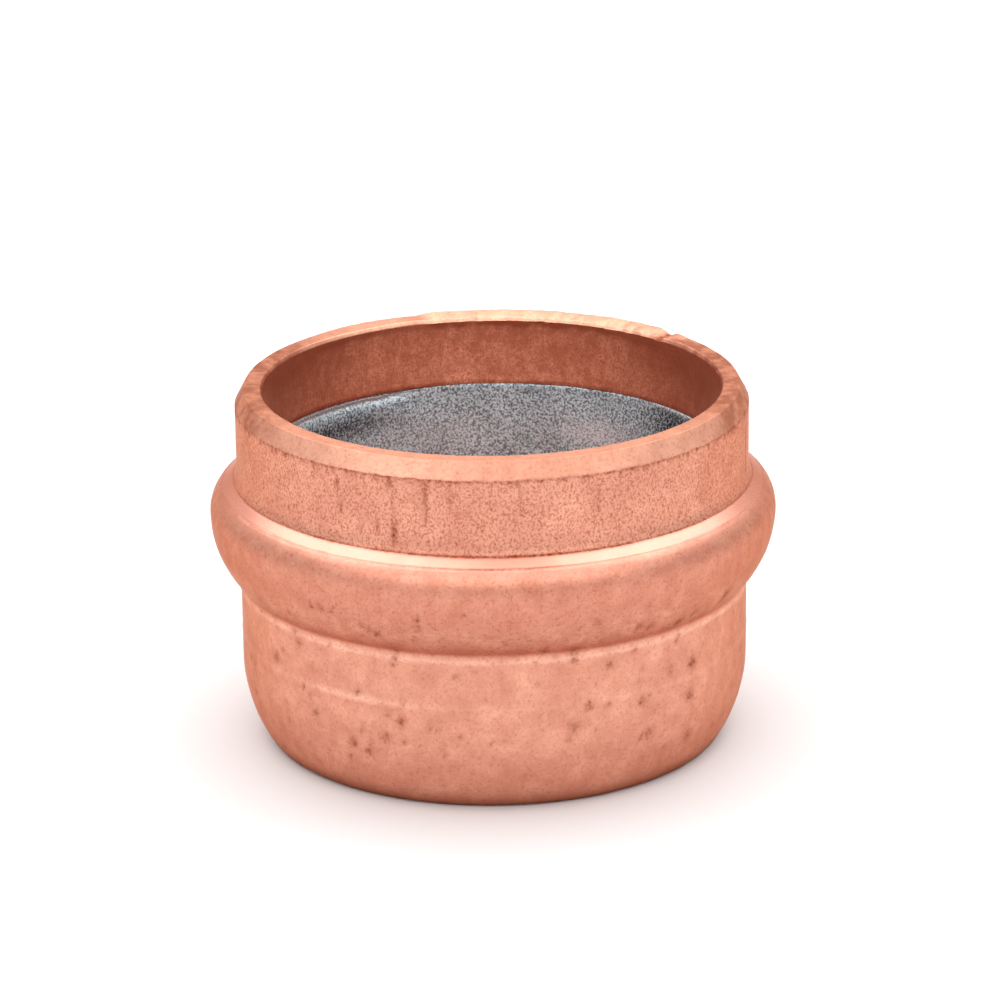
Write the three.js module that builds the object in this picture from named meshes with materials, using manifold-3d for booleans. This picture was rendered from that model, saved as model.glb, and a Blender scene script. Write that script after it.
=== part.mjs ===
// Solder-ring stop end for 15 mm copper tube: a drawn copper cup that caps the tube's end, with a
// rolled bead near its mouth, and a ring of solder wire pressed into the groove inside that bead.
//
// Millimetres. The cup stands on its closed end with its mouth facing +Z, centred on the Z axis, and
// z is 0 at the underside. The ring's split faces the front, -Y.

import * as THREE from 'three';
import { mergeVertices } from 'three/addons/utils/BufferGeometryUtils.js';
import Module from 'manifold-3d';

// The socket: a 15 mm tube slides in with a capillary gap of 0.05 mm all round.
const TUBE_RADIUS = 7.5;
const CAPILLARY_GAP = 0.05;
const BORE_RADIUS = TUBE_RADIUS + CAPILLARY_GAP;

// The cup's outside.
const HEIGHT = 12;
const FLOOR_THICKNESS = 0.9;
const NECK_RADIUS = 8.45;
const BODY_RADIUS = 8.4;

// The cut rim: an outer chamfer and a small inner bevel on either side of the flat.
const CHAMFER = 0.3;
const CHAMFER_HEIGHT = 0.6;
const BEVEL = 0.1;
const BEVEL_HEIGHT = 0.2;

// The bead: a tight arc above its widest circle and a slow one below.
const BEAD_RADIUS = 9.36;
const BEAD_Z = 7.75;
const BEAD_UPPER_ARC = 1.2;
const BEAD_LOWER_ARC = 3.175;

// The bottom corner: a wide arc from the wall, cut off by the base, with its edge rounded.
const CORNER_RADIUS = 4.8;
const CORNER_Z = 2.75;
const EDGE_RADIUS = 0.4;

// The solder's groove: a shallow recess in the bore that opens into the bead's hollow.
const BEAD_WALL = 0.75;
const RECESS_RADIUS = 7.75;
const GROOVE_TOP = 9.5;
const GROOVE_BOTTOM = 5.7;
const HOLLOW_TOP = 8.6;

// The solder ring: flush with the bore but for its slight swell, and split where the wire's ends meet.
const RING_RADIUS = 7.52;
const RING_SHOULDER = 0.08;
const RING_GAP = 0.03;
const SPLIT_WIDTH = 0.3;

// Faceting.
const SEGMENTS = 72;
const ARC_STEP = THREE.MathUtils.degToRad(11);

const CORNER_CENTRE = BODY_RADIUS - CORNER_RADIUS;
const BEAD_UPPER_CENTRE = BEAD_RADIUS - BEAD_UPPER_ARC;
const BEAD_LOWER_CENTRE = BEAD_RADIUS - BEAD_LOWER_ARC;

const copper = new THREE.MeshStandardMaterial({ color: 0xe39a7f, roughness: 0.38, metalness: 1 });
const solder = new THREE.MeshStandardMaterial({ color: 0x8c898c, roughness: 0.6, metalness: 0.9 });

// A profile point at radius r and height z.
function point(r, z) {
  return new THREE.Vector2(r, z);
}

// Profile points along an arc. Angles are measured from outward, up.
function arc(centreR, centreZ, radius, from, to) {
  const steps = Math.max(2, Math.ceil(Math.abs(to - from) / ARC_STEP));
  return Array.from({ length: steps + 1 }, (_, i) => {
    const angle = from + ((to - from) * i) / steps;
    return point(centreR + radius * Math.cos(angle), centreZ + radius * Math.sin(angle));
  });
}

// The angle at which a circle round centreR reaches the radius r.
function angleAt(r, centreR, radius) {
  return Math.acos((r - centreR) / radius);
}

// The underside and the bottom corner, out to the wall.
function bottomOutside() {
  const drop = CORNER_Z - EDGE_RADIUS;
  const reach = Math.sqrt((CORNER_RADIUS - EDGE_RADIUS) ** 2 - drop ** 2);
  const turn = Math.atan2(drop, reach);
  return [
    point(0, 0),
    ...arc(CORNER_CENTRE + reach, EDGE_RADIUS, EDGE_RADIUS, -Math.PI / 2, -turn),
    ...arc(CORNER_CENTRE, CORNER_Z, CORNER_RADIUS, -turn, 0).slice(1),
  ];
}

// The bead, from its lower crease on the body to its upper crease on the neck.
function beadOutside() {
  const lower = angleAt(BODY_RADIUS, BEAD_LOWER_CENTRE, BEAD_LOWER_ARC);
  const upper = angleAt(NECK_RADIUS, BEAD_UPPER_CENTRE, BEAD_UPPER_ARC);
  return [
    ...arc(BEAD_LOWER_CENTRE, BEAD_Z, BEAD_LOWER_ARC, -lower, 0),
    ...arc(BEAD_UPPER_CENTRE, BEAD_Z, BEAD_UPPER_ARC, 0, upper).slice(1),
  ];
}

// The cut rim, from the neck over to the bore.
function rim() {
  return [
    point(NECK_RADIUS, HEIGHT - CHAMFER_HEIGHT),
    point(NECK_RADIUS - CHAMFER, HEIGHT),
    point(BORE_RADIUS + BEVEL, HEIGHT),
    point(BORE_RADIUS, HEIGHT - BEVEL_HEIGHT),
  ];
}

// The groove's walls from its top to its bottom, moved in from the copper by a gap.
function groove(gap) {
  const recess = RECESS_RADIUS - gap;
  const upperArc = BEAD_UPPER_ARC - BEAD_WALL - gap;
  const lowerArc = BEAD_LOWER_ARC - BEAD_WALL - gap;
  const lower = angleAt(recess, BEAD_LOWER_CENTRE, lowerArc);
  return [
    point(recess, GROOVE_TOP - gap),
    point(recess, HOLLOW_TOP - gap),
    ...arc(BEAD_UPPER_CENTRE, BEAD_Z, upperArc, Math.PI / 2, 0),
    ...arc(BEAD_LOWER_CENTRE, BEAD_Z, lowerArc, 0, -lower).slice(1),
    point(recess, GROOVE_BOTTOM + gap),
  ];
}

// The bore with its groove, the inner corner and the floor, in to the axis.
function inside() {
  const cornerArc = BORE_RADIUS - CORNER_CENTRE;
  const turn = Math.asin((CORNER_Z - FLOOR_THICKNESS) / cornerArc);
  return [
    point(BORE_RADIUS, GROOVE_TOP),
    ...groove(0),
    point(BORE_RADIUS, GROOVE_BOTTOM),
    ...arc(CORNER_CENTRE, CORNER_Z, cornerArc, 0, -turn),
    point(0, FLOOR_THICKNESS),
  ];
}

// The ring's section: the groove's walls, closed by its own inner face with eased shoulders.
function ringSection() {
  const top = GROOVE_TOP - RING_GAP;
  const bottom = GROOVE_BOTTOM + RING_GAP;
  const innerFace = [
    point(RING_RADIUS + RING_SHOULDER, top),
    point(RING_RADIUS, top - RING_SHOULDER),
    point(RING_RADIUS, bottom + RING_SHOULDER),
    point(RING_RADIUS + RING_SHOULDER, bottom),
  ];
  const section = [...groove(RING_GAP).reverse(), ...innerFace];
  return [...section, section[0].clone()];
}

// A solid of revolution about Z.
function turned(profile) {
  return new THREE.LatheGeometry(profile, SEGMENTS).rotateX(Math.PI / 2);
}

// A closed geometry as a solid that can be cut.
function toSolid(wasm, geometry) {
  const bare = geometry.clone();
  bare.deleteAttribute('normal');
  bare.deleteAttribute('uv');
  const merged = mergeVertices(bare, 1e-4);
  return new wasm.Manifold(
    new wasm.Mesh({
      numProp: 3,
      vertProperties: new Float32Array(merged.attributes.position.array),
      triVerts: new Uint32Array(merged.index.array),
    }),
  );
}

function toGeometry(solid) {
  const mesh = solid.getMesh();
  const geometry = new THREE.BufferGeometry();
  geometry.setAttribute('position', new THREE.BufferAttribute(mesh.vertProperties, 3));
  geometry.setIndex(new THREE.BufferAttribute(mesh.triVerts, 1));
  geometry.computeVertexNormals();
  return geometry;
}

// The ring with a slot cut through it at the front.
function splitRing(wasm) {
  const reach = BEAD_RADIUS;
  const slot = new THREE.BoxGeometry(SPLIT_WIDTH, reach, HEIGHT);
  slot.translate(0, -reach / 2, HEIGHT / 2);
  return toGeometry(toSolid(wasm, turned(ringSection())).subtract(toSolid(wasm, slot)));
}

function namedMesh(name, geometry, material) {
  const mesh = new THREE.Mesh(geometry, material);
  mesh.name = name;
  return mesh;
}

const wasm = await Module();
wasm.setup();

const stopEnd = new THREE.Group();
const cupProfile = [...bottomOutside(), ...beadOutside(), ...rim(), ...inside()];
stopEnd.add(namedMesh('copper_cup', turned(cupProfile), copper));
stopEnd.add(namedMesh('solder_ring', splitRing(wasm), solder));

export default stopEnd;
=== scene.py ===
"""The looks of a solder-ring stop end for 15 mm copper tube: a drawn copper cup with a rolled bead, and the
ring of solder pressed into the groove inside the bead. Lengths are millimetres until a mesh is made.
Angles round the part are degrees from the front, -Y, and grow towards +X."""

import math
import random

import bpy
import numpy as np
from mathutils import Matrix, Vector, noise


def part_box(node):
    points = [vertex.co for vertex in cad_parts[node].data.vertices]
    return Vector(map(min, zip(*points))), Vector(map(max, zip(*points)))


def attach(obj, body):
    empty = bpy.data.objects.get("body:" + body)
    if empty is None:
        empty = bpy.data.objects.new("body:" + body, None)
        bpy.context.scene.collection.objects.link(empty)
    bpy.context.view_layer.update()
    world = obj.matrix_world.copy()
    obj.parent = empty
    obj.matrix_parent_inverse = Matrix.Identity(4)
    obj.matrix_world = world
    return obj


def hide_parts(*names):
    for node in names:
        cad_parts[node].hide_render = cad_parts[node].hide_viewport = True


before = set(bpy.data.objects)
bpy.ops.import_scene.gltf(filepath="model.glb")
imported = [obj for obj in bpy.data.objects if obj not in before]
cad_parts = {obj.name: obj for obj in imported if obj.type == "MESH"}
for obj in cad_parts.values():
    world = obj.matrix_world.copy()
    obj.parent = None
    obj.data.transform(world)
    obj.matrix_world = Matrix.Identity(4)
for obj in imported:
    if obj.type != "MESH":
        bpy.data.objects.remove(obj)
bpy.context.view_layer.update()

MM = 0.001
SEGMENTS = 480

# The cup's outside, driven by the frame's box. The bead leaves room in it for its surface relief.
CUP_HIGH = np.array(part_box("copper_cup")[1]) / MM
RELIEF_ROOM = 0.005
BEAD_RADIUS = CUP_HIGH[0] - RELIEF_ROOM
TOP = CUP_HIGH[2]
BORE_RADIUS = 7.55
NECK_RADIUS = 8.45
BODY_RADIUS = 8.4
FLOOR_THICKNESS = 0.9
BEAD_Z = 7.75
BEAD_UPPER_ARC = 1.1
BEAD_LOWER_ARC = 3.175
BEAD_FILLET = 0.42
CORNER_RADIUS = 4.8
CORNER_Z = 2.75
EDGE_RADIUS = 0.4

# The rolling tool left a straight, burnished shoulder between the neck and the bead's round part.
ROUND_ENDS = math.radians(52)
SHOULDER_TILT = math.radians(53)
NECK_FLARE = 0.13
FLARE_HEIGHT = 0.5
FLARE_SHARES = (1, 0.96, 0.92, 0.86, 0.78, 0.66, 0.5, 0.3, 0)

# The cut rim. Its plain height leaves room for the burr that the saw raised at the back.
BURR_HEIGHT = 0.08
RIM_Z = TOP - BURR_HEIGHT
CHAMFER = 0.3
CHAMFER_HEIGHT = 0.56
CHAMFER_TURN = (0.18, 0.22)
BEVEL = 0.06
BEVEL_HEIGHT = 0.12

# The groove and its solder ring.
GROOVE_TOP = 9.5
GROOVE_BOTTOM = 5.7
RECESS_RADIUS = 7.75
HOLLOW_TOP = 8.6
BEAD_WALL = 0.75
RING_GAP = 0.01
RING_RADIUS = 7.52
RING_SHOULDER = 0.02
RING_FOOT = 0.2
SPLIT_WIDTH = 0.3

BEAD_UPPER_CENTRE = BEAD_RADIUS - BEAD_UPPER_ARC
BEAD_LOWER_CENTRE = BEAD_RADIUS - BEAD_LOWER_ARC
CORNER_CENTRE = BODY_RADIUS - CORNER_RADIUS

# Row spacing along the outline: at tool lines and edges, elsewhere, on flats out of sight, and inside.
FINE, PLAIN, COARSE, INNER = 0.045, 0.18, 0.9, 0.45
BEAD_SPACING = 0.14
FACE_SPACING = 0.1
SHOULDER_SPACING = 0.03

# How far the fine rows go on from an edge.
EDGE_BAND = 0.3
LIP_BAND = 0.5

# Points nearer than this are one point.
SAME_POINT = 1e-6

# How far inside a sharp corner the outline has one more point, so that smooth shading leaves it sharp.
CRISP = 0.012


# ---- Outlines ----------------------------------------------------------------------------------------

def line(start, end, spacing):
    """Points (r, z) from start to end."""
    steps = max(1, round(math.dist(start, end) / spacing))
    return [tuple(np.add(start, np.subtract(end, start) * i / steps)) for i in range(steps + 1)]


def crisp_line(start, end, spacing):
    """Points from start to end, with one more just inside each end."""
    inset = np.subtract(end, start) * CRISP / math.dist(start, end)
    return [start, *line(tuple(np.add(start, inset)), tuple(np.subtract(end, inset)), spacing), end]


def arc(centre, radius, start, end, spacing):
    """Points (r, z) along an arc. Angles are radians from outward, up."""
    steps = max(2, round(abs(end - start) * radius / spacing))
    turns = np.linspace(start, end, steps + 1)
    return [(centre[0] + radius * math.cos(t), centre[1] + radius * math.sin(t)) for t in turns]


def angle_at(r, centre_r, radius):
    """The angle at which a circle round centre_r reaches the radius r."""
    return math.acos((r - centre_r) / radius)


def join(sections):
    """Sections of points as one outline: its points, with no point twice, and each point's section."""
    points, names = [], []
    for name, section in sections:
        for point in section:
            if not points or math.dist(point, points[-1]) > SAME_POINT:
                points.append(point)
                names.append(name)
    return np.array(points), np.array(names)


def outline_normals(points, closed):
    """Unit normals of an outline, out of the metal."""
    if closed:
        along = np.roll(points, -1, 0) - np.roll(points, 1, 0)
    else:
        along = np.gradient(points, axis=0)
    normals = np.stack([along[:, 1], -along[:, 0]], 1)
    return normals / np.linalg.norm(normals, axis=1)[:, None]


def bead_fillet():
    """The hollow arc under the bead, as its centre and the angle where the bead's lower arc takes over."""
    r = BODY_RADIUS + BEAD_FILLET
    drop = math.sqrt((BEAD_LOWER_ARC + BEAD_FILLET) ** 2 - (r - BEAD_LOWER_CENTRE) ** 2)
    return (r, BEAD_Z - drop), math.atan2(drop, r - BEAD_LOWER_CENTRE)


ROUND_END = (BEAD_UPPER_CENTRE + BEAD_UPPER_ARC * math.cos(ROUND_ENDS),
             BEAD_Z + BEAD_UPPER_ARC * math.sin(ROUND_ENDS))
CREASE = (NECK_RADIUS + NECK_FLARE,
          ROUND_END[1] + (ROUND_END[0] - NECK_RADIUS - NECK_FLARE) / math.tan(SHOULDER_TILT))
FILLET_CENTRE, FILLET_TURN = bead_fillet()
RIM_EDGE = (NECK_RADIUS - CHAMFER, RIM_Z)


def flare():
    """The neck's foot, which widens to meet the crease."""
    return [(NECK_RADIUS + NECK_FLARE * t ** 2, CREASE[1] + FLARE_HEIGHT * (1 - t)) for t in FLARE_SHARES]


def outer_sections():
    """The outline from the centre of the underside, up the outside to the chamfer's top."""
    edge_r = CORNER_CENTRE + math.sqrt((CORNER_RADIUS - EDGE_RADIUS) ** 2 - (CORNER_Z - EDGE_RADIUS) ** 2)
    turn = math.atan2(CORNER_Z - EDGE_RADIUS, edge_r - CORNER_CENTRE)
    lip_z = FILLET_CENTRE[1] - LIP_BAND
    neck_foot = (NECK_RADIUS, CREASE[1] + FLARE_HEIGHT)
    chamfer_foot = (NECK_RADIUS, RIM_Z - CHAMFER_HEIGHT)
    edge_foot = (NECK_RADIUS, RIM_Z - CHAMFER_HEIGHT - EDGE_BAND)
    chamfer_turn = (NECK_RADIUS - CHAMFER_TURN[0], RIM_Z - CHAMFER_TURN[1])
    return [
        ("base", line((0, 0), (edge_r, 0), COARSE)),
        ("corner", arc((edge_r, EDGE_RADIUS), EDGE_RADIUS, -math.pi / 2, -turn, 2 * FINE)),
        ("corner", arc((CORNER_CENTRE, CORNER_Z), CORNER_RADIUS, -turn, 0, PLAIN)),
        ("body", line((BODY_RADIUS, CORNER_Z), (BODY_RADIUS, lip_z), PLAIN)),
        ("body", line((BODY_RADIUS, lip_z), (BODY_RADIUS, FILLET_CENTRE[1]), FINE)),
        ("body", arc(FILLET_CENTRE, BEAD_FILLET, math.pi, math.pi - FILLET_TURN, FINE)),
        ("bead", arc((BEAD_LOWER_CENTRE, BEAD_Z), BEAD_LOWER_ARC, -FILLET_TURN, 0, BEAD_SPACING)),
        ("bead", arc((BEAD_UPPER_CENTRE, BEAD_Z), BEAD_UPPER_ARC, 0, ROUND_ENDS, FINE)),
        ("shoulder", crisp_line(ROUND_END, CREASE, FINE)),
        ("neck", flare()),
        ("neck", line(neck_foot, edge_foot, PLAIN)),
        ("neck", crisp_line(edge_foot, chamfer_foot, FINE)),
        ("chamfer", crisp_line(chamfer_foot, chamfer_turn, FINE)),
        ("chamfer", crisp_line(chamfer_turn, RIM_EDGE, FINE)),
    ]


def inner_sections():
    """The outline from the chamfer's top, over the rim and down the bore to the floor's centre."""
    bevel_edge = (BORE_RADIUS + BEVEL, RIM_Z)
    bore_top = (BORE_RADIUS, RIM_Z - BEVEL_HEIGHT)
    bore_edge = (BORE_RADIUS, RIM_Z - BEVEL_HEIGHT - EDGE_BAND)
    corner_arc = BORE_RADIUS - CORNER_CENTRE
    floor_turn = math.asin((CORNER_Z - FLOOR_THICKNESS) / corner_arc)
    floor_edge = (CORNER_CENTRE + corner_arc * math.cos(floor_turn), FLOOR_THICKNESS)
    return [
        ("rim", crisp_line(RIM_EDGE, bevel_edge, 2 * FINE)),
        ("bevel", line(bevel_edge, bore_top, FINE)),
        ("bore", line(bore_top, bore_edge, FINE)),
        ("bore", line(bore_edge, (BORE_RADIUS, GROOVE_TOP), PLAIN)),
        ("groove", groove(0)),
        ("bore", line((BORE_RADIUS, GROOVE_BOTTOM), (BORE_RADIUS, CORNER_Z), INNER)),
        ("floor", arc((CORNER_CENTRE, CORNER_Z), corner_arc, 0, -floor_turn, INNER)),
        ("floor", line(floor_edge, (0, FLOOR_THICKNESS), COARSE)),
    ]


def groove(gap):
    """The groove's walls from its top to its bottom, moved in from the copper by a gap."""
    recess = RECESS_RADIUS - gap
    upper_arc = BEAD_UPPER_ARC - BEAD_WALL - gap
    lower_arc = BEAD_LOWER_ARC - BEAD_WALL - gap
    lower = angle_at(recess, BEAD_LOWER_CENTRE, lower_arc)
    return [
        (recess, GROOVE_TOP - gap),
        (recess, HOLLOW_TOP - gap),
        *arc((BEAD_UPPER_CENTRE, BEAD_Z), upper_arc, math.pi / 2, 0, COARSE),
        *arc((BEAD_LOWER_CENTRE, BEAD_Z), lower_arc, 0, -lower, COARSE),
        (recess, GROOVE_BOTTOM + gap),
    ]


def ring_outline():
    """The solder ring's section: the groove's walls, then its own face under a rounded top edge."""
    top = GROOVE_TOP - RING_GAP
    bottom = GROOVE_BOTTOM + RING_GAP
    shoulder_z = top - RING_SHOULDER
    shoulder = (RING_RADIUS + RING_SHOULDER, shoulder_z)
    face_foot = (RING_RADIUS, bottom + RING_FOOT)
    points, names = join([
        ("hidden", groove(RING_GAP)[::-1]),
        ("face", arc(shoulder, RING_SHOULDER, math.pi / 2, math.pi, SHOULDER_SPACING)),
        ("face", line((RING_RADIUS, shoulder_z), face_foot, FACE_SPACING)),
        ("face", line(face_foot, (RECESS_RADIUS - RING_GAP, bottom), FACE_SPACING)),
    ])
    return points[:-1], names[:-1]


# ---- Surface relief ----------------------------------------------------------------------------------

OCTAVES = 3


def rough_field(places, scale, octaves=OCTAVES):
    """Fractal noise of about -1 to 1 at places in millimetres, with about scale features in each."""
    shape = places.shape[:-1]
    values = [noise.fractal(Vector(p) * scale, 1.0, 2.0, octaves) for p in places.reshape(-1, 3)]
    return np.array(values).reshape(shape)


def bump(distance, width):
    """A smooth bump of height 1 at distance 0, gone at about twice the width."""
    return np.exp(-((distance / width) ** 2))


def between(value, low, high, ease):
    """About 1 from low to high, and 0 outside, with edges that take ease."""
    return 0.5 * (np.tanh((value - low) / ease) - np.tanh((value - high) / ease))


def angle_gap(angles, centre):
    """How far angles are from a centre, in degrees, the short way round."""
    return (angles - centre + 180) % 360 - 180


class Turned:
    """An outline turned about Z into a grid of places, rows by columns, ready for relief."""

    def __init__(self, points, names, angles, closed):
        self.points, self.names, self.angles = points, names, angles
        self.normals = outline_normals(points, closed)
        self.r, self.z = points[:, :1], points[:, 1:]
        turn = np.radians(angles)
        self.around = np.stack([np.sin(turn), -np.cos(turn)], 1)
        self.lift = np.zeros((len(points), len(angles)))
        self.rise = np.zeros((len(points), len(angles)))
        self.masks = {}

    def places(self):
        """Every grid point's place with its relief, rows by columns by 3."""
        r = self.r + self.lift * self.normals[:, :1]
        z = self.z + self.lift * self.normals[:, 1:] + self.rise
        return np.concatenate([r[..., None] * self.around[None], z[..., None]], 2)

    def section(self, *names):
        """1 on rows of these sections, as a column of rows."""
        return np.isin(self.names, names).astype(float)[:, None]

    def outside(self):
        """1 on the rows below the rim on the outside, as a column of rows."""
        return (np.cumsum(self.names == "rim") == 0).astype(float)[:, None]

    def sideways(self, angle):
        """Distance in millimetres round the part from an angle."""
        return np.radians(angle_gap(self.angles, angle))[None] * self.r

    def near(self, angle, width):
        """A bump of height 1 at an angle, gone at about twice the width in degrees, as a row of columns."""
        return bump(angle_gap(self.angles, angle), width)[None]

    def ragged(self, scale, seed):
        """Noise of about -1 to 1 round the part, scale features in a degree, as a row of columns."""
        reach = scale * 180 / math.pi
        spots = [Vector((reach * math.sin(t), reach * math.cos(t), seed)) for t in np.radians(self.angles)]
        return np.array([noise.fractal(spot, 1.0, 2.0, OCTAVES) for spot in spots])[None]


# The least and greatest radius and depth of a random pit.
PIT_RADII = (0.05, 0.11)
PIT_DEPTHS = (0.006, 0.024)


def scatter_pits(count, seed, z_low, z_high):
    """Small pits at random over a band of heights: angle, height, radius and depth."""
    draw = random.Random(seed)
    pits = []
    for _ in range(count):
        angle, z = draw.uniform(-180, 180), draw.uniform(z_low, z_high)
        pits.append((angle, z, draw.uniform(*PIT_RADII), draw.uniform(*PIT_DEPTHS)))
    return pits


# Pits that stand out: angle, height, radius, depth. A negative depth is a small raised spot.
PITS = [
    (-15, 6.95, 0.11, 0.03), (-15, 6.65, 0.12, 0.025), (-27.5, 6.45, 0.12, 0.04),
    (-26, 6.3, 0.12, 0.04), (-24.5, 6.2, 0.14, 0.045), (-39, 6.8, 0.1, 0.02), (-36.5, 6.85, 0.1, 0.025),
    (-34, 6.85, 0.1, 0.02), (31, 6.15, 0.15, 0.04), (34, 6.05, 0.13, 0.02), (42.5, 5.85, 0.16, 0.035),
    (56.5, 6.2, 0.17, 0.035), (46.5, 6, 0.13, 0.025), (21, 6.65, 0.14, 0.015),
    (10.5, 5.65, 0.15, 0.025), (29, 7.85, 0.12, 0.012), (-22, 5.5, 0.11, 0.04), (-22, 5.25, 0.1, 0.035),
    (-22.5, 5, 0.09, 0.02), (17.5, 5.5, 0.17, 0.05), (17.5, 5.2, 0.14, 0.03), (26, 4.85, 0.16, 0.02),
    (32, 5.15, 0.12, 0.015), (49.5, 4.05, 0.2, 0.035), (42, 4.15, 0.15, 0.02), (48.5, 3, 0.2, 0.025),
    (21, 3.6, 0.16, 0.035), (25.5, 3.5, 0.12, 0.02), (34, 3.35, 0.15, 0.03), (17.5, 2.9, 0.2, 0.022),
    (36, 2.2, 0.16, 0.02), (49, 1.55, 0.2, 0.02), (-57.5, 4.1, 0.2, 0.025), (-48.5, 4.95, 0.12, 0.02),
    (-31.5, 3.9, 0.12, 0.025), (-20.5, 3.75, 0.12, 0.02), (-43.5, 2.75, 0.15, 0.022),
    (-21, 3.1, 0.16, 0.045), (-24.5, 2.5, 0.16, 0.025), (-33, 2.05, 0.15, 0.05),
    (-29.5, 1.85, 0.15, 0.05), (-14.5, 3.2, 0.09, 0.02), (-14.5, 2.9, 0.09, 0.02),
    (6.5, 1.25, 0.15, 0.015), (-48.5, 6.6, 0.1, -0.02), (-28.5, 6.2, 0.1, -0.025),
    (-6, 1.65, 0.15, -0.015), (16, 5.85, 0.12, -0.02),
]

# Score marks up the neck: angle, lowest and highest point, depth.
SCORES = [
    (-21.5, 9.15, 9.8, 0.016), (-21.5, 9.9, 11.1, 0.004), (-14.5, 9.95, 11.2, 0.009),
    (-22.5, 11, 11.25, 0.014), (-35.5, 10.7, 10.95, 0.014), (-34.5, 9.95, 10.25, 0.01),
    (-29.5, 9.4, 9.7, 0.008), (-25.5, 9.3, 9.8, 0.008), (-9, 10.4, 11.2, 0.005), (6, 10.2, 11.1, 0.005),
    (23, 10, 11, 0.005), (78, 9.3, 10.9, 0.01), (131, 9.2, 11.1, 0.01), (-118, 9.4, 10.6, 0.012),
    (-160, 9.8, 11.2, 0.008),
]

# How far each section's surface wanders.
LUMPS = {"base": 0.003, "corner": 0.008, "body": 0.008, "bead": 0.008, "shoulder": 0.0012, "neck": 0.004,
         "chamfer": 0.005, "rim": 0.005, "bevel": 0.006, "bore": 0.006, "groove": 0.0, "floor": 0.006}

# Two raised lines round the body: a short ridge at the front left, and the lip under the bead.
RIDGE_Z = 3.68
LIP_Z = FILLET_CENTRE[1] - 0.03

# Depths that look fully dark, and the shape of a score mark across and at its ends.
DARK_PIT = 0.03
DARK_SCORE = 0.016
SCORE_WIDTH, SCORE_END = 0.08, 0.06

# A point this near the axis lies on it.
ON_AXIS = 1e-6

# The chip at the burr's end: its angle, width in degrees and depth.
CHIP_ANGLE, CHIP_WIDTH, CHIP_DEPTH = 131.5, 1.2, 0.09

# How far the rim and the chamfer's foot wander, and how deep the rim's inner edge is torn by the burr.
RIM_WANDER = 0.01
FOOT_WANDER = 0.035
TEAR = 0.1


def sink_pits(grid, pits):
    """Sinks pits into the grid's outside, and returns how deep in a pit each point is, from 0 to 1."""
    sunk = np.zeros_like(grid.lift)
    outside = grid.outside() * (1 - grid.section("shoulder"))
    for angle, z, radius, depth in pits:
        near = bump(np.hypot(grid.sideways(angle), grid.z - z), radius) * outside
        grid.lift -= depth * near
        sunk = np.maximum(sunk, near * min(1, depth / DARK_PIT))
    return sunk


def cut_scores(grid):
    """Cuts the neck's score marks, and returns how deep in one each point is, from 0 to 1."""
    cut = np.zeros_like(grid.lift)
    for angle, low, high, depth in SCORES:
        mark = bump(grid.sideways(angle), SCORE_WIDTH) * between(grid.z, low, high, SCORE_END)
        mark = mark * grid.section("neck")
        grid.lift -= depth * mark
        cut = np.maximum(cut, mark * depth / DARK_SCORE)
    return cut


def burr(grid):
    """How strongly the saw raised a burr, from 0 to 1: at the back, and weakly on two short stretches."""
    from_back = angle_gap(grid.angles, 180)
    main = between(from_back, -47, 17, ease=1.0)
    low_stretch = 0.4 * between(from_back, 24, 44, ease=4) + 0.6 * between(from_back, -54, -50, ease=0.8)
    return np.clip(main + low_stretch, 0, 1)[None]


def shape_rim(grid):
    """Raises the burr on the rim's outer edge and roughens its edges. Returns the chip and the burr."""
    chamfer_z = RIM_Z - CHAMFER_HEIGHT
    across = np.clip((grid.r - BORE_RADIUS) / (NECK_RADIUS - CHAMFER - BORE_RADIUS), 0, 1)
    on_top = grid.section("rim", "bevel")
    on_chamfer = grid.section("chamfer") * np.clip((grid.z - chamfer_z) / CHAMFER_HEIGHT, 0, 1) ** 2
    raised = burr(grid) * np.clip(0.8 + 0.3 * grid.ragged(0.5, seed=1.0), 0, 1)
    grid.rise += BURR_HEIGHT * raised * (on_top * (1.6 * across - 0.6) + on_chamfer)
    grid.rise += RIM_WANDER * np.minimum(0, grid.ragged(0.5, seed=2.0)) * (on_top + on_chamfer)
    chip = grid.near(CHIP_ANGLE, CHIP_WIDTH) * (on_top + on_chamfer)
    grid.rise -= CHIP_DEPTH * chip
    low_edge = bump(grid.z - chamfer_z, 0.1) * grid.section("chamfer", "neck")
    grid.rise += FOOT_WANDER * grid.ragged(0.7, seed=3.0) * low_edge
    inner_edge = (1 - across) ** 2 * grid.section("rim")
    inner_edge = inner_edge + grid.section("bevel") * np.clip((grid.z - RIM_Z) / BEVEL_HEIGHT + 1, 0, 1)
    torn = TEAR * raised * np.clip(0.5 + grid.ragged(0.5, seed=4.0), 0, 1)
    grid.rise -= torn * inner_edge
    return chip, raised


def score_line(grid, z, width, depth, wander, seed):
    """A fine line turned round the outside at a height, deeper and shallower as it goes."""
    drift = wander * grid.ragged(0.25, seed)
    strength = np.clip(0.75 + 0.6 * grid.ragged(0.08, seed + 1), 0.1, 1)
    mark = bump(grid.z - z - drift, width) * grid.outside() * strength
    grid.lift -= depth * mark
    return mark


def raise_line(grid, z, width, height, strength):
    """A soft raised line round the body."""
    mark = bump(grid.z - z, width) * grid.section("body", "corner") * strength
    grid.lift += height * mark
    return mark


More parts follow.
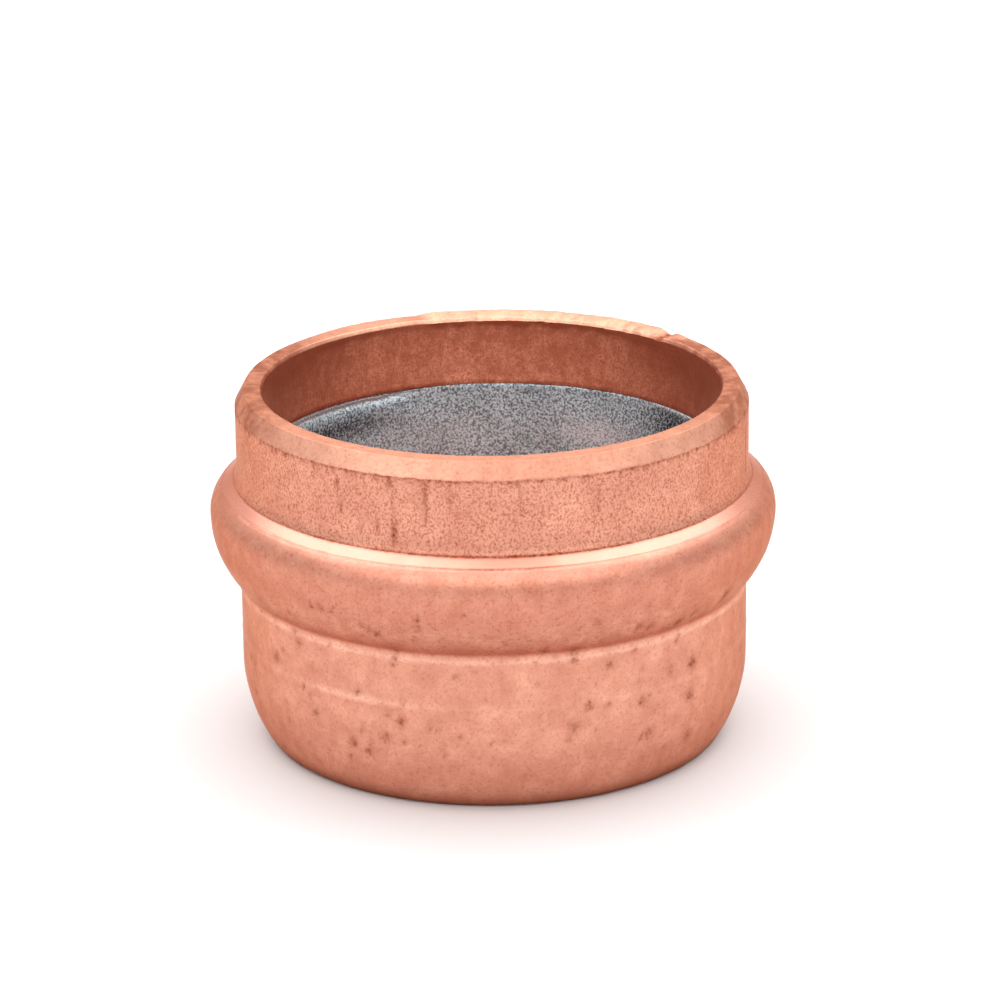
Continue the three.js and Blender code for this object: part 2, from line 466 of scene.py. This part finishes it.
def mark_lines(grid):
    """The turned and rolled lines round the outside: how dark each point is along them, and how strongly the
    raised lines get a painted highlight.
    """
    centre = 0.45 + 0.55 * grid.near(4, 32)
    crease = score_line(grid, CREASE[1] + 0.015, width=0.034, depth=0.006, wander=0.004, seed=5.0) * centre
    tool = 0.2 + 0.8 * grid.near(3, 13)
    tool = score_line(grid, ROUND_END[1] - 0.01, width=0.024, depth=0.008, wander=0.01, seed=7.0) * tool
    ridge_z = RIDGE_Z + 0.05 * grid.ragged(0.03, seed=6.0)
    ridge = raise_line(grid, ridge_z, width=0.09, height=0.06, strength=0.2 + 0.8 * grid.near(-33, 12))
    lip_strength = np.clip(0.8 + 0.4 * grid.ragged(0.1, seed=8.0), 0, 1)
    lip = raise_line(grid, LIP_Z, width=0.13, height=0.05, strength=lip_strength)
    above_lip = bump(grid.z - LIP_Z - 0.28, 0.07) * grid.section("body", "bead")
    above_lip = above_lip * np.clip(0.45 + 0.5 * grid.ragged(0.12, seed=10.0), 0, 1)
    dark = 1.7 * crease + tool + 0.25 * above_lip
    # The raised ridge and lip are given a painted highlight in pale copper.
    return dark, np.clip(ridge + lip, 0, 1)


def mark_edge(grid):
    """How dark the neck is just under the chamfer's ragged foot, with short ticks down from it."""
    foot = RIM_Z - CHAMFER_HEIGHT
    line_dark = bump(grid.z - (foot - 0.03), 0.045) * grid.section("neck", "chamfer")
    line_dark = line_dark * np.clip(0.65 + 0.6 * grid.ragged(0.5, seed=9.0), 0.1, 1)
    ticks = between(grid.z, foot - 0.2, foot, 0.03) * grid.section("neck")
    ticks = ticks * np.clip(1.6 * grid.ragged(1.4, seed=11.0), 0, 0.7)
    return np.clip(line_dark + ticks, 0, 1)


def inside_shade(grid, raised):
    """How dark the bore is painted, all of it painted shading: at its two sides, towards the rim, and in a
    ragged line under the burr's torn edge.
    """
    # Painted shading at the bore's two sides, stronger towards the rim.
    ends = 1.2 * grid.near(114, 33) + 1.1 * grid.near(-113, 30)
    upper = 0.75 + 0.25 * np.clip((grid.z - GROOVE_TOP) / 2, 0, 1)
    # A painted shadow line just under the burr.
    torn = bump(grid.z - (RIM_Z - 0.2 + 0.06 * grid.ragged(0.2, seed=12.0)), 0.17)
    torn = 1.25 * torn * (0.35 + 0.65 * raised) * np.clip(0.8 + 0.5 * grid.ragged(0.3, seed=13.0), 0, 1)
    # Painted shading that grows towards the rim.
    under_rim = 0.28 * np.clip((grid.z - RIM_Z) / 1.4 + 1, 0, 1)
    return grid.section("bore") * np.clip(0.85 * ends * upper + torn + under_rim, 0, 1)


def rim_wear(grid):
    """How much of the rim's two sides has gone dull, from 0 to 1."""
    side = between(np.abs(angle_gap(grid.angles, 0)), 62, 127, 8)[None]
    return side * grid.section("chamfer", "rim", "bevel")


def chamfer_highlight_and_spots(grid, fine):
    """Where the cut edge is pale: a painted highlight in a long streak at the front left, and rubbed pale
    spots at the front right.
    """
    # Painted highlight: the chamfer's front left is made pale where the light falls.
    streak = 0.95 * grid.near(-29, 13)
    spots = grid.near(35, 5) * np.clip(3 * fine, 0, 1)
    return grid.section("chamfer", "rim") * (streak * np.clip(0.8 + fine, 0, 1) + spots)


def lump(grid):
    """Makes the surface wander a little, and returns the coarse and fine noise that it follows."""
    amount = np.array([LUMPS[name] for name in grid.names])[:, None]
    places = grid.places()
    coarse, fine = rough_field(places, 1.1), rough_field(places, 3.1, octaves=2)
    grid.lift += amount * coarse
    grid.lift += 0.5 * amount * fine
    return coarse, fine


def painted_bore_light(grid):
    """Painted light: how much paler orange the back of the bore is made just over the solder, from 0 to 1.
    """
    low = np.clip((GROOVE_TOP + 1.5 - grid.z) / 1.5, 0, 1)
    return grid.section("bore") * low * grid.near(180, 52)


def painted_shading_and_wear(grid, raised, dull, coarse, fine):
    """How dark the copper is made: painted shading at its foot, in its bore and on the chamfer's front, and
    real wear on the cut edge's sides.
    """
    # Painted shading: darker towards the base, in place of the shadowed floor that the foot reflects.
    foot = grid.outside() * np.clip((0.7 - grid.z) / 0.7, 0, 1) ** 1.3
    worn_rim = 0.6 * dull * np.clip(0.55 + coarse + 0.9 * fine, 0, 1)
    # Painted shading: the chamfer made darker at its front.
    centre = 0.4 * grid.section("chamfer") * grid.near(9, 24)
    return 0.95 * foot + inside_shade(grid, raised) + worn_rim + centre


def surface_masks(grid, pits, scores, chip, raised, lines, line_highlight, coarse, fine):
    """How much of each kind of surface, and of painted light and painted shading, every point has, by name.
    Values are not yet clipped.
    """
    dull = rim_wear(grid)
    fresh = grid.section("chamfer", "rim", "bevel") * (1 - 0.75 * dull)
    shoulder, body = grid.section("shoulder"), grid.section("body", "corner")
    on_round = grid.section("bead") * np.clip((grid.z - BEAD_Z - 0.45) / 0.3, 0, 1)
    on_face = between(grid.z, BEAD_Z - 1.15, BEAD_Z + 0.45, 0.2)
    dull_centre = grid.near(3, 13)
    streak = grid.near(116, 9) * grid.section("chamfer") * np.clip(0.7 + coarse, 0, 1)
    return {
        "stain": pits + 1.2 * scores + lines + 0.85 * mark_edge(grid) + 0.9 * chip + 0.7 * streak,
        # Painted shading at the foot, in the bore and on the chamfer's front, and real wear on the rim's
        # sides.
        "shade_and_wear": painted_shading_and_wear(grid, raised, dull, coarse, fine),
        "fresh": fresh,
        "inside": grid.section("bore", "groove", "floor"),
        # Painted light: the back of the bore just over the solder is made paler orange and less metallic.
        "warm_light": painted_bore_light(grid),
        "bead": grid.section("bead") * on_face + shoulder * dull_centre,
        "drawn": grid.section("neck"),
        "burnished": shoulder * (1 - 0.75 * dull_centre) + 0.5 * on_round,
        # Pale copper: painted highlights on the raised ridge and lip and on the chamfer's front left, and
        # rubbed pale spots at the front right.
        "pale_spot_and_highlight": line_highlight + chamfer_highlight_and_spots(grid, fine),
        "coarse": 1 - 0.92 * shoulder - 0.5 * on_round - 0.35 * fresh - 0.28 * body,
    }


def copper_grid():
    """The cup's grid of places with all its relief, and the masks that its material reads."""
    points, names = join(outer_sections() + inner_sections())
    grid = Turned(points, names, np.arange(SEGMENTS) * 360 / SEGMENTS, closed=False)
    coarse, fine = lump(grid)
    low_pits = scatter_pits(260, seed=5, z_low=0.6, z_high=6.6)
    high_pits = scatter_pits(50, seed=6, z_low=6.6, z_high=11)
    pits = sink_pits(grid, PITS + low_pits + high_pits)
    scores = cut_scores(grid)
    chip, raised = shape_rim(grid)
    lines, line_highlight = mark_lines(grid)
    masks = surface_masks(grid, pits, scores, chip, raised, lines, line_highlight, coarse, fine)
    for name, values in masks.items():
        grid.masks[name] = np.broadcast_to(np.clip(values, 0, 1), grid.lift.shape)
    grid.lift[points[:, 0] < ON_AXIS] = 0
    below = np.minimum(0, (grid.z + grid.lift * grid.normals[:, 1:]) * grid.section("base"))
    grid.rise -= below
    return grid


# ---- Meshes ------------------------------------------------------------------------------------------

def add_mesh(name, vertices, faces, masks):
    """A smooth mesh object, made from vertices in millimetres, with one number per vertex for each mask."""
    mesh = bpy.data.meshes.new(name)
    mesh.from_pydata((vertices * MM).tolist(), [], faces)
    mesh.shade_smooth()
    for mask, values in masks.items():
        attribute = mesh.attributes.new(mask, "FLOAT", "POINT")
        attribute.data.foreach_set("value", values.astype(np.float32))
    mesh.validate()
    piece = bpy.data.objects.new(name, mesh)
    bpy.context.scene.collection.objects.link(piece)
    return piece


def band_faces(lower, upper, wrap):
    """Quads between two rows of vertex numbers."""
    count = len(lower)
    last = count if wrap else count - 1
    return [(lower[j], lower[(j + 1) % count], upper[(j + 1) % count], upper[j]) for j in range(last)]


def make_cup():
    """The copper cup as one closed mesh. Its outline's two ends meet the axis in one vertex each."""
    grid = copper_grid()
    places = grid.places()
    columns = len(grid.angles)
    rows = np.arange((len(grid.points) - 2) * columns).reshape(-1, columns)
    vertices = np.concatenate([places[1:-1].reshape(-1, 3), places[:1, 0], places[-1:, 0]])
    base_centre, floor_centre = len(vertices) - 2, len(vertices) - 1
    faces = []
    for lower, upper in zip(rows[:-1].tolist(), rows[1:].tolist()):
        faces += band_faces(lower, upper, wrap=True)
    for j in range(columns):
        after = (j + 1) % columns
        faces.append((base_centre, int(rows[0, after]), int(rows[0, j])))
        faces.append((floor_centre, int(rows[-1, j]), int(rows[-1, after])))
    masks = {
        name: np.concatenate([values[1:-1].ravel(), values[:1, 0], values[-1:, 0]])
        for name, values in grid.masks.items()
    }
    return add_mesh("drawn_cup", vertices, faces, masks)


def lay_back(grid):
    """Leans the top of the ring's face outwards at the back left, where the wire lies a little loose."""
    top = GROOVE_TOP - RING_GAP
    loose = between(angle_gap(grid.angles, 180), 24, 66, ease=5)[None]
    lean = np.clip((grid.z - (top - 0.36)) / 0.3, 0, 1)
    under = bump(grid.z - (top - 0.75), 0.3)
    grid.lift += (0.02 * under - 0.17 * lean) * loose * grid.section("face")
    return lean * loose


def ring_masks(grid, bright_lean):
    """Where the solder is dark, at both sides and as painted shading under its loose edge; where it is pale,
    with painted highlights along that edge and along its top at the right; and where it shines.
    """
    from_back = angle_gap(grid.angles, 180)[None]
    face = grid.section("face")
    right = between(from_back, -85, -46, ease=7) * (0.8 + 0.3 * bump(grid.z - 8.8, 0.5))
    # Painted shading under the loose edge, and further round at the left.
    left = between(from_back, 30, 80, ease=7) * bump(grid.z - 8.55, 0.42)
    far_left = bump(from_back - 72, 14)
    dark = np.clip(right + 0.9 * left + 0.4 * far_left, 0, 1)
    lower_right = bump(from_back + 29, 11) * bump(grid.z - 7.9, 0.5)
    centre = 0.25 * bump(from_back - 12, 22) * bump(grid.z - 7.7, 0.8)
    # A painted highlight along the top edge at the right.
    top_line = bump(grid.z - GROOVE_TOP, 0.09) * between(from_back, -75, -45, ease=4)
    # The leaning edge gets a painted highlight too.
    pale = np.clip(bright_lean + 0.55 * lower_right + centre + 0.5 * top_line, 0, 1)
    return {"dark": face * dark * (1 - pale), "pale": face * pale, "shine": face * bright_lean}


# How far the ring's section shrinks at each of its end columns.
END_SHARES = ((0.8, 0), (0.95, 1), (0.95, -2), (0.8, -1))


def make_ring():
    """The solder ring as one closed mesh, split at the front, with its ends rounded over."""
    points, names = ring_outline()
    split = math.degrees(SPLIT_WIDTH / 2 / RING_RADIUS)
    angles = np.linspace(split, 360 - split, SEGMENTS + 1)
    grid = Turned(points, names, angles, closed=True)
    places = grid.places()
    shown = grid.section("face")
    grid.lift += 0.014 * shown * rough_field(places, 0.9)
    grid.lift += 0.01 * shown * rough_field(places, 3.4, octaves=2)
    masks = ring_masks(grid, lay_back(grid))
    places = grid.places()
    middle = places.mean(0)
    for share, column in END_SHARES:
        places[:, column] = middle[column] + share * (places[:, column] - middle[column])
    rows, columns = places.shape[:2]
    numbers = np.arange(rows * columns).reshape(rows, columns)
    faces = []
    for i in range(rows):
        faces += band_faces(numbers[i].tolist(), numbers[(i + 1) % rows].tolist(), wrap=False)
    faces.append(tuple(numbers[:, 0].tolist()))
    faces.append(tuple(numbers[::-1, -1].tolist()))
    flat_masks = {name: values.ravel() for name, values in masks.items()}
    return add_mesh("solder_wire_ring", places.reshape(-1, 3), faces, flat_masks)


# ---- Materials ---------------------------------------------------------------------------------------

class Shader:
    """A material with short calls for the nodes used here."""

    def __init__(self, name):
        self.material = bpy.data.materials.new(name)
        self.material.use_nodes = True
        self.tree = self.material.node_tree
        self.surface = self.tree.nodes["Principled BSDF"]
        coordinates = self.node("ShaderNodeTexCoord").outputs["Object"]
        self.place = self.scaled(coordinates, (1 / MM, 1 / MM, 1 / MM))

    def node(self, kind, **settings):
        """A new node with these settings."""
        made = self.tree.nodes.new(kind)
        for key, value in settings.items():
            setattr(made, key, value)
        return made

    def feed(self, socket, value):
        """Links another node's socket to this one, or sets a plain value on it."""
        if isinstance(value, bpy.types.NodeSocket):
            self.tree.links.new(value, socket)
        else:
            socket.default_value = value

    def scaled(self, vector, scale):
        """A vector times a scale for each axis."""
        made = self.node("ShaderNodeMapping")
        self.feed(made.inputs["Vector"], vector)
        self.feed(made.inputs["Scale"], scale)
        return made.outputs["Vector"]

    def noise(self, scale, detail=2.0, stretch=(1, 1, 1), roughness=0.5):
        """Noise with this many features in a millimetre, fewer along a stretched axis."""
        made = self.node("ShaderNodeTexNoise")
        self.feed(made.inputs["Vector"], self.scaled(self.place, stretch))
        self.feed(made.inputs["Scale"], scale)
        self.feed(made.inputs["Detail"], detail)
        self.feed(made.inputs["Roughness"], roughness)
        return made.outputs["Fac"]

    def turned_noise(self, across, along):
        """Noise in lines round the Z axis: features in a millimetre across them, and in a radian along."""
        parts = self.node("ShaderNodeSeparateXYZ")
        self.feed(parts.inputs[0], self.place)
        x, y, z = parts.outputs
        squares = self.math("ADD", self.times(x, x), self.times(y, y))
        radius = self.math("SQRT", squares)
        spot = self.node("ShaderNodeCombineXYZ")
        self.feed(spot.inputs[0], self.times(self.math("DIVIDE", x, radius), along))
        self.feed(spot.inputs[1], self.times(self.math("DIVIDE", y, radius), along))
        self.feed(spot.inputs[2], self.times(z, across))
        made = self.node("ShaderNodeTexNoise", noise_dimensions="4D")
        self.feed(made.inputs["Vector"], spot.outputs[0])
        self.feed(made.inputs["W"], self.times(radius, across))
        self.feed(made.inputs["Scale"], 1.0)
        self.feed(made.inputs["Detail"], 2.0)
        return made.outputs["Fac"]

    def mask(self, name):
        """A mesh's mask, as numbers from 0 to 1."""
        return self.node("ShaderNodeAttribute", attribute_name=name).outputs["Fac"]

    def math(self, operation, a, b=0.0, clamp=False):
        """One sum of two numbers."""
        made = self.node("ShaderNodeMath", operation=operation, use_clamp=clamp)
        self.feed(made.inputs[0], a)
        self.feed(made.inputs[1], b)
        return made.outputs[0]

    def times(self, a, b):
        """a times b."""
        return self.math("MULTIPLY", a, b)

    def spread(self, value, low, high, to_low=0.0, to_high=1.0):
        """value from low..high onto to_low..to_high, clamped."""
        made = self.node("ShaderNodeMapRange", clamp=True)
        for socket, number in zip(made.inputs[:5], (value, low, high, to_low, to_high)):
            self.feed(socket, number)
        return made.outputs[0]

    def blend(self, share, a, b, kind="MIX"):
        """The colour a with a share of b mixed in."""
        made = self.node("ShaderNodeMix", data_type="RGBA", blend_type=kind)
        self.feed(made.inputs["Factor"], share)
        self.feed(made.inputs[6], a)
        self.feed(made.inputs[7], b)
        return made.outputs[2]

    def dim(self, tone, factor):
        """A colour times a number."""
        grey = self.node("ShaderNodeCombineColor")
        for socket in grey.inputs:
            self.feed(socket, factor)
        return self.blend(1.0, tone, grey.outputs[0], "MULTIPLY")

    def bump(self, height, depth, under=None):
        """A bump of this depth in millimetres, over another normal if one is given."""
        made = self.node("ShaderNodeBump")
        self.feed(made.inputs["Strength"], 1.0)
        self.feed(made.inputs["Distance"], depth * MM)
        self.feed(made.inputs["Height"], height)
        if under is not None:
            self.feed(made.inputs["Normal"], under)
        return made.outputs["Normal"]


def colour(red, green, blue):
    """A linear colour that covers fully."""
    return (red, green, blue, 1.0)


COPPER_DARK = colour(0.46, 0.135, 0.075)
COPPER_DEEP = colour(0.69, 0.305, 0.213)
COPPER_LIGHT = colour(0.83, 0.4, 0.282)
COPPER_FRESH = colour(0.97, 0.5, 0.35)
COPPER_BURNISHED = colour(0.95, 0.42, 0.32)
COPPER_INSIDE = colour(1.0, 0.41, 0.25)
# Painted light: the paler orange for the back of the bore over the solder.
COPPER_WARM_LIT = colour(1.0, 0.45, 0.28)
# Rubbed pale spots, and the colour of painted highlights on the chamfer and raised lines.
COPPER_PALE_SPOT_AND_HIGHLIGHT = colour(1.0, 0.56, 0.42)
COPPER_BEAD = colour(0.67, 0.28, 0.195)
COPPER_EDGE = colour(0.7, 0.5, 0.42)
# Oxide for real stains, and the colour that painted shading darkens towards.
OXIDE_AND_SHADING = colour(0.26, 0.055, 0.022)
SOLDER_DARK = colour(0.16, 0.205, 0.235)
SOLDER_LIGHT = colour(0.74, 0.93, 1.0)
SOLDER_BLACK = colour(0.015, 0.02, 0.03)
SOLDER_PALE = colour(0.95, 0.97, 1.0)
FLOOR_GREY = colour(0.79, 0.79, 0.79)

# Bump depths in millimetres.
DRAWN_DEPTH = 0.006
TURNED_DEPTH = 0.005
GRAIN_DEPTH = 0.01
SOLDER_DEPTH = 0.02

# The mask that each kind of copper surface has, its colour, and how fully it covers what is under it.
COPPER_COATS = [
    # The bore-back coat is painted light; the pale coat is mostly a painted highlight.
    ("inside", COPPER_INSIDE, 0.85), ("warm_light", COPPER_WARM_LIT, 0.8), ("bead", COPPER_BEAD, 0.75),
    ("burnished", COPPER_BURNISHED, 0.85), ("pale_spot_and_highlight", COPPER_PALE_SPOT_AND_HIGHLIGHT, 0.85), ("fresh", COPPER_FRESH, 0.9),
]


def speckled(s, tone, grain, coarse):
    """Copper with darker patches and fine dark specks, most of them on the drawn neck and inside."""
    drawn, inside = s.mask("drawn"), s.mask("inside")
    patches = s.spread(s.noise(1.9, 4.0, roughness=0.6), 0.38, 0.66, 1.0, 0.0)
    patches = s.times(s.times(patches, coarse), 0.34)
    patches = s.times(patches, s.spread(drawn, 0.0, 1.0, 1.0, 0.35))
    tone = s.blend(patches, tone, COPPER_DARK)
    dots = s.spread(s.noise(15.0, 1.0, stretch=(1, 1, 0.8)), 0.47, 0.63)
    dots = s.times(dots, s.spread(drawn, 0.0, 1.0, 0.2, 0.62))
    dots = s.times(dots, s.spread(inside, 0.0, 1.0, 1.0, 3.0))
    specks = s.math("ADD", dots, s.spread(grain, 0.32, 0.46, 0.45, 0.0), clamp=True)
    return s.blend(s.times(specks, coarse), tone, COPPER_DARK)


def clouded_inside(s, tone):
    """Copper with wide arch-shaped streaks of painted shading, for reflections in the bore, and small clouds
    of tarnish, on the inside only.
    """
    # Painted shading: dark arch-shaped streaks up the bore where reflections would be.
    arches = s.spread(s.noise(0.5, 2.0, stretch=(1, 1, 0.6)), 0.42, 0.6, 0.35, 0.0)
    clouds = s.spread(s.noise(3.0, 3.0, stretch=(1, 1, 0.8), roughness=0.6), 0.4, 0.6, 0.45, 0.0)
    cover = s.times(s.math("ADD", arches, clouds), s.mask("inside"))
    return s.blend(cover, tone, COPPER_DARK)


def copper_tone(s, mottle, grain, coarse):
    """Copper's colour: mottled, paler where it is cut or burnished or lit by painted light, and dark in its
    marks and its painted shading.
    """
    tone = s.blend(mottle, COPPER_DEEP, COPPER_LIGHT)
    for name, paint, cover in COPPER_COATS:
        tone = s.blend(s.times(s.mask(name), cover), tone, paint)
    tone = clouded_inside(s, speckled(s, tone, grain, coarse))
    stain = s.times(s.mask("stain"), s.spread(grain, 0.35, 0.6, 1.0, 0.5))
    # Painted shading and rim wear add to the stains, and both darken towards oxide.
    stain = s.math("ADD", stain, s.times(s.mask("shade_and_wear"), 0.9), clamp=True)
    return s.blend(stain, tone, OXIDE_AND_SHADING)


def copper_roughness(s, mottle):
    """Copper's roughness: glossier where it is burnished, duller in its stains and inside."""
    rough = s.spread(mottle, 0.0, 1.0, 0.45, 0.37)
    rough = s.math("SUBTRACT", rough, s.times(s.mask("burnished"), 0.15))
    rough = s.math("ADD", rough, s.times(s.mask("stain"), 0.2), clamp=True)
    return s.math("ADD", rough, s.times(s.mask("inside"), 0.12), clamp=True)


def copper_normal(s, grain, coarse):
    """Copper's fine relief: marks drawn up the neck, lines turned round the rest, and grain over all."""
    drawn = s.noise(6.5, 2.0, stretch=(1, 1, 0.2))
    turned = s.turned_noise(9.0, 4.0)
    on_neck = s.mask("drawn")
    normal = s.bump(s.times(drawn, on_neck), DRAWN_DEPTH)
    turned = s.times(s.times(turned, s.math("SUBTRACT", 1.0, on_neck)), coarse)
    normal = s.bump(turned, TURNED_DEPTH, normal)
    return s.bump(s.times(grain, coarse), GRAIN_DEPTH, normal)


def copper_material():
    """Drawn copper, shiny outside, and dulled inside by tarnish and by painted shading."""
    s = Shader("copper")
    coarse = s.mask("coarse")
    mottle = s.spread(s.noise(0.9, 6.0, roughness=0.6), 0.3, 0.7)
    grain = s.noise(8.5, 2.0, roughness=0.6)
    dull = s.math("ADD", s.times(s.mask("inside"), 0.65), s.times(s.mask("warm_light"), 0.3))
    s.feed(s.surface.inputs["Base Color"], copper_tone(s, mottle, grain, coarse))
    s.feed(s.surface.inputs["Metallic"], s.math("SUBTRACT", 1.0, dull, clamp=True))
    s.feed(s.surface.inputs["Specular Tint"], COPPER_EDGE)
    s.feed(s.surface.inputs["Roughness"], copper_roughness(s, mottle))
    s.feed(s.surface.inputs["Normal"], copper_normal(s, grain, coarse))
    return s.material


def solder_tone(s, grain):
    """Solder's colour: a frosted grain, darkened and paled by the ring's masks, which hold painted shading
    under its loose edge and painted highlights.
    """
    cloud = s.spread(s.noise(0.8, 3.0), 0.35, 0.65)
    tone = s.blend(s.spread(grain, 0.36, 0.62), SOLDER_DARK, SOLDER_LIGHT)
    tone = s.dim(tone, s.spread(cloud, 0.0, 1.0, 0.82, 1.0))
    # Darker at the sides, with painted shading under the loose edge.
    dark = s.times(s.mask("dark"), s.spread(grain, 0.45, 0.65, 1.0, 0.5))
    tone = s.blend(dark, tone, SOLDER_BLACK)
    # Paler where highlights are painted.
    pale = s.times(s.mask("pale"), s.spread(grain, 0.35, 0.55, 0.6, 1.0))
    return s.blend(pale, tone, SOLDER_PALE)


def solder_material():
    """Dull solder that shines where the ring leans away from the bore, with a painted highlight there too.
    """
    s = Shader("solder")
    grain = s.noise(13.0, 1.0, roughness=0.5)
    s.feed(s.surface.inputs["Base Color"], solder_tone(s, grain))
    s.feed(s.surface.inputs["Metallic"], s.spread(s.mask("shine"), 0.0, 1.0, 0.4, 0.95))
    s.feed(s.surface.inputs["Roughness"], s.spread(grain, 0.3, 0.7, 0.6, 0.42))
    s.feed(s.surface.inputs["Normal"], s.bump(grain, SOLDER_DEPTH))
    return s.material


def floor_material():
    """Matt pale grey, which the light turns white."""
    s = Shader("pale_floor")
    s.feed(s.surface.inputs["Base Color"], FLOOR_GREY)
    s.feed(s.surface.inputs["Roughness"], 0.9)
    s.feed(s.surface.inputs["Specular IOR Level"], 0.1)
    return s.material


# ---- Studio ------------------------------------------------------------------------------------------

# How far the floor reaches from the part, in metres.
FLOOR_REACH = 3.0

# The camera: where it stands, how far it looks down, its roll, and its lens and sensor in millimetres.
CAMERA_PLACE = (0.234, -143.07, RIM_Z + 45.23)
CAMERA_DOWN = math.radians(19.02)
CAMERA_ROLL = math.radians(-0.65)
LENS, SENSOR = 164.4, 36.0


def make_floor():
    """A wide flat floor under the part."""
    mesh = bpy.data.meshes.new("floor")
    corners = [(x * FLOOR_REACH, y * FLOOR_REACH, 0) for x, y in ((-1, -1), (1, -1), (1, 1), (-1, 1))]
    mesh.from_pydata(corners, [], [(0, 1, 2, 3)])
    floor = bpy.data.objects.new("floor", mesh)
    bpy.context.scene.collection.objects.link(floor)
    floor.data.materials.append(floor_material())


def soft_light(name, place, towards, width, height, brightness):
    """A rectangular softbox in metres. At brightness 1 it looks like a white card under full light."""
    light = bpy.data.lights.new(name, "AREA")
    light.shape = "RECTANGLE"
    light.size, light.size_y = width, height
    light.energy = brightness * math.pi * width * height
    lamp = bpy.data.objects.new(name, light)
    lamp.location = place
    lamp.rotation_euler = Vector(towards).to_track_quat("-Z", "Y").to_euler()
    bpy.context.scene.collection.objects.link(lamp)


def make_world(strength, side_strength):
    """A white surround that fades to another strength towards the left and right."""
    world = bpy.data.worlds.new("studio")
    world.use_nodes = True
    tree = world.node_tree
    parts = tree.nodes.new("ShaderNodeSeparateXYZ")
    tree.links.new(tree.nodes.new("ShaderNodeTexCoord").outputs["Generated"], parts.inputs[0])
    sideways = tree.nodes.new("ShaderNodeMath")
    sideways.operation = "ABSOLUTE"
    tree.links.new(parts.outputs["X"], sideways.inputs[0])
    level = tree.nodes.new("ShaderNodeMapRange")
    fade_from, fade_to = 0.45, 0.95
    for socket, number in zip(level.inputs[1:5], (fade_from, fade_to, strength, side_strength)):
        socket.default_value = number
    tree.links.new(sideways.outputs[0], level.inputs[0])
    background = tree.nodes["Background"]
    background.inputs["Color"].default_value = colour(1, 1, 1)
    tree.links.new(level.outputs[0], background.inputs["Strength"])
    bpy.context.scene.world = world


def make_camera():
    """A long lens looking down at the part from the front, a little off its axis and slightly rolled."""
    data = bpy.data.cameras.new("camera")
    data.sensor_width = SENSOR
    data.lens = LENS
    data.clip_start = 0.01
    camera = bpy.data.objects.new("camera", data)
    turn = Matrix.Rotation(math.pi / 2 - CAMERA_DOWN, 4, "X") @ Matrix.Rotation(CAMERA_ROLL, 4, "Z")
    camera.matrix_world = Matrix.Translation(Vector(CAMERA_PLACE) * MM) @ turn
    bpy.context.scene.collection.objects.link(camera)
    bpy.context.scene.camera = camera


def place(piece, node, slot, material):
    """Puts a finished piece on the frame in its CAD node's stead."""
    piece.data.materials.append(material)
    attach(piece, "root")
    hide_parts(node)


make_camera()
make_floor()
make_world(strength=0.86, side_strength=0.82)
soft_light("overhead", (0, 0.23, 0.45), towards=(0, 0, -1), width=1.0, height=0.72, brightness=1.5)
soft_light("front_fill", (0, -0.35, 0.32), towards=(0, 0.35, -0.31), width=1.3, height=0.34, brightness=0.88)
bpy.context.scene.view_settings.view_transform = "Standard"
place(make_cup(), "copper_cup", "copper", copper_material())
place(make_ring(), "solder_ring", "solder", solder_material())
